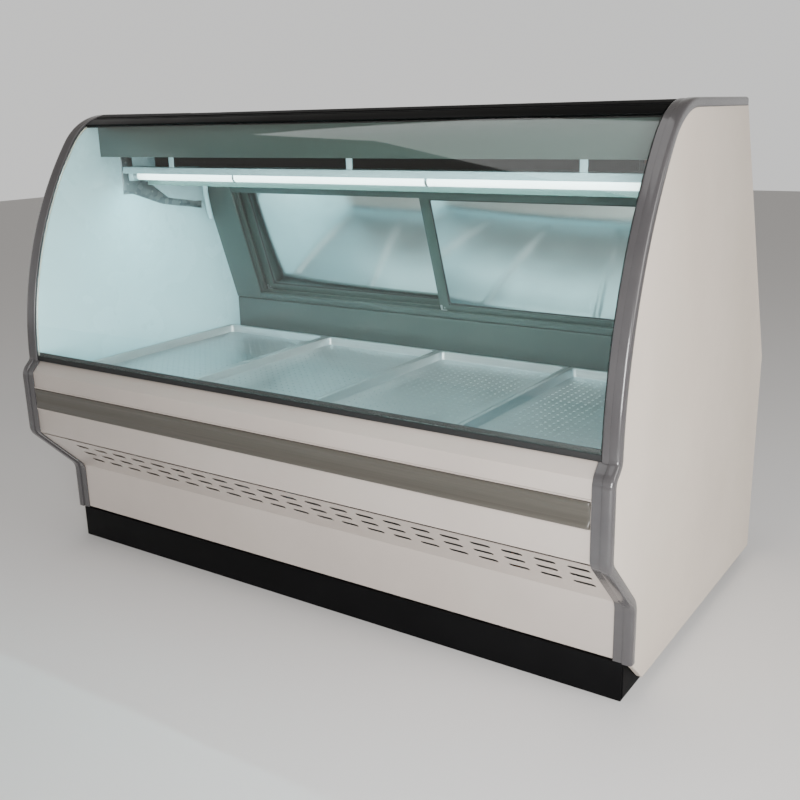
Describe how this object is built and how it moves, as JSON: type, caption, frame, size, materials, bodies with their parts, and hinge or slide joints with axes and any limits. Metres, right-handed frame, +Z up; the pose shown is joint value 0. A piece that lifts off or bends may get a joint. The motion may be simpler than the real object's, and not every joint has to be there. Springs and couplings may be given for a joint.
{
  "type": "refrigerated deli case",
  "caption": "Free-standing refrigerated service case with a curved lift-up front glass, lit display deck, sliding mirrored rear doors and a built-in condensing unit.",
  "frame": {"origin": "middle of the footprint, on the floor", "axes": "+X along the case to the customer's right, -Y towards the customer, +Z up"},
  "size_m": [1.905, 1.09, 1.33],
  "materials": {
    "black_paint": "semi-matt black paint",
    "zinc_sheet": "bare galvanised sheet",
    "cream_panel": "semi-gloss cream powder coat",
    "white_liner": "gloss white enamel",
    "trim_moulding": "gloss dark grey moulding",
    "beige_panel": "semi-gloss warm beige powder coat",
    "bumper_rail": "satin olive grey extrusion",
    "black_rubber": "matt black rubber",
    "black_extrusion": "black anodised aluminium",
    "clear_glass": "clear curved tempered glass with a slight green tint",
    "grey_green_frame": "satin grey-green paint",
    "mirror_glass": "reflective coated glass",
    "lamp_glass": "white lit fluorescent tube",
    "coil_fins": "finned aluminium coil",
    "stainless": "brushed stainless steel",
    "black_plastic": "satin black plastic",
    "copper_pipe": "bare copper tube"
  },
  "bodies": {
    "cabinet": {"base_frame": "black_paint", "kick_plate": "black_paint", "hinge_rail": "black_paint", "canopy_top": "black_paint", "fan_shroud": "black_paint", "fan_motor": "black_paint", "compressor": "black_paint", "machine_deck": "zinc_sheet", "unit_tray": "zinc_sheet", "electrical_box": "zinc_sheet", "end_panel_left": "cream_panel", "end_panel_right": "cream_panel", "end_liner_left": "white_liner", "end_liner_right": "white_liner", "insulated_tank": "white_liner", "lamp_housing": "white_liner", "lamp_holder_left": "white_liner", "lamp_holder_right": "white_liner", "coil_bracket_left": "white_liner", "coil_bracket_right": "white_liner", "coil_drain_tube": "white_liner", "tank_drain": "white_liner", "end_trim_left": "trim_moulding", "end_trim_right": "trim_moulding", "front_intake_panel": "beige_panel", "nose_panel": "beige_panel", "rear_apron": "beige_panel", "rear_access_panel": "beige_panel", "bumper_rail": "bumper_rail", "glass_sill_gasket": "black_rubber", "rear_header": "grey_green_frame", "visor_panel": "grey_green_frame", "drip_pan": "grey_green_frame", "door_jamb_left": "grey_green_frame", "door_jamb_right": "grey_green_frame", "door_sill_track": "grey_green_frame", "door_head_track": "grey_green_frame", "lamp_tube": "lamp_glass", "cooling_coil": "coil_fins", "condenser_coil": "coil_fins", "deck_pan_1": "stainless", "deck_pan_2": "stainless", "deck_pan_3": "stainless", "deck_pan_4": "stainless", "condensate_pan": "stainless", "power_gland": "black_plastic", "suction_line": "copper_pipe", "liquid_line": "copper_pipe"},
    "front_glass": {"front_glass": "clear_glass", "glass_hinge_channel": "black_extrusion"},
    "door_left": {"door_frame_left": "grey_green_frame", "door_mirror_left": "mirror_glass", "door_pull_left": "stainless"},
    "door_right": {"door_frame_right": "grey_green_frame", "door_mirror_right": "mirror_glass", "door_pull_right": "stainless"},
    "fan": {"fan_blade": "zinc_sheet"},
    "switch": {"light_switch": "black_plastic"},
    "knob": {"temperature_knob": "black_plastic"}
  },
  "joints": [
    {"name": "front_glass_lift", "type": "hinge", "parent": "cabinet", "child": "front_glass", "pos_m": [0, -0.19959, 1.31177], "axis": [-1, 0, 0], "range_deg": [0, 55]},
    {"name": "door_left_slide", "type": "slide", "parent": "cabinet", "child": "door_left", "axis": [1, 0, 0], "range_m": [0, 0.763]},
    {"name": "door_right_slide", "type": "slide", "parent": "cabinet", "child": "door_right", "axis": [-1, 0, 0], "range_m": [0, 0.763]},
    {"name": "condenser_fan_spin", "type": "hinge", "parent": "cabinet", "child": "fan", "pos_m": [0.37, -0.26, 0.242], "axis": [0, 1, 0], "continuous": true},
    {"name": "light_switch_rock", "type": "hinge", "parent": "cabinet", "child": "switch", "pos_m": [0.711, 0.527, 0.555], "axis": [1, 0, 0], "range_deg": [0, 12]},
    {"name": "temperature_knob_turn", "type": "hinge", "parent": "cabinet", "child": "knob", "pos_m": [0.79, 0.5325, 0.555], "axis": [0, 1, 0], "range_deg": [0, 270]}
  ]
}
